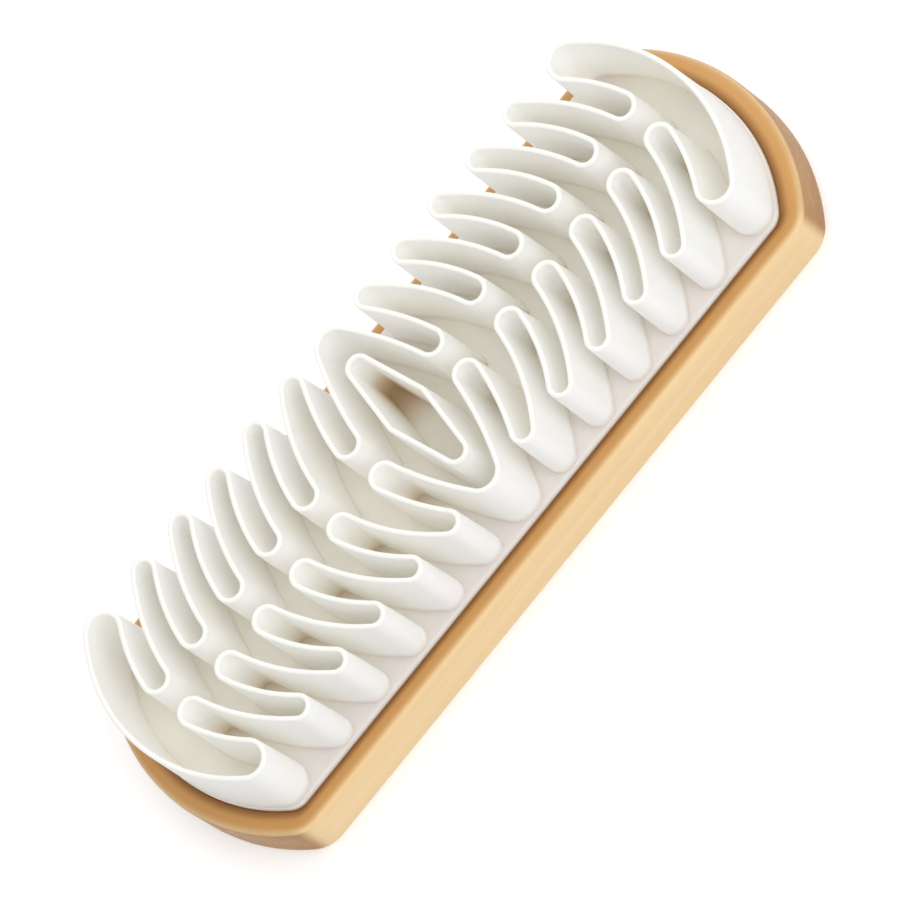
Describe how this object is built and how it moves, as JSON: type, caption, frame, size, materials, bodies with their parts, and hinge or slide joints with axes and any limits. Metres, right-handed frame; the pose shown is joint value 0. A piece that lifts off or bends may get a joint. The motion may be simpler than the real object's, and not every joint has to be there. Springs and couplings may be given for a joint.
{
  "type": "suede brush",
  "caption": "Hand brush for suede: a flat wooden block with bulged ends carries a pale rubber pad whose upright rib winds to and fro across it.",
  "frame": {"origin": "middle of the block's flat back, on the surface that the brush lies on", "axes": "+X along the length, +Y across the width, +Z out of the rubber face; the brush lies on its back"},
  "size_m": [0.125, 0.0426, 0.025],
  "materials": {
    "wood": "fine-sanded pale wood, clear satin lacquer",
    "rubber": "smooth moulded off-white rubber, satin",
    "glue": "dried contact adhesive, matt"
  },
  "bodies": {
    "root": {"handle_block": "wood", "glue_film": "glue", "rubber_pad": "rubber"}
  },
  "joints": []
}
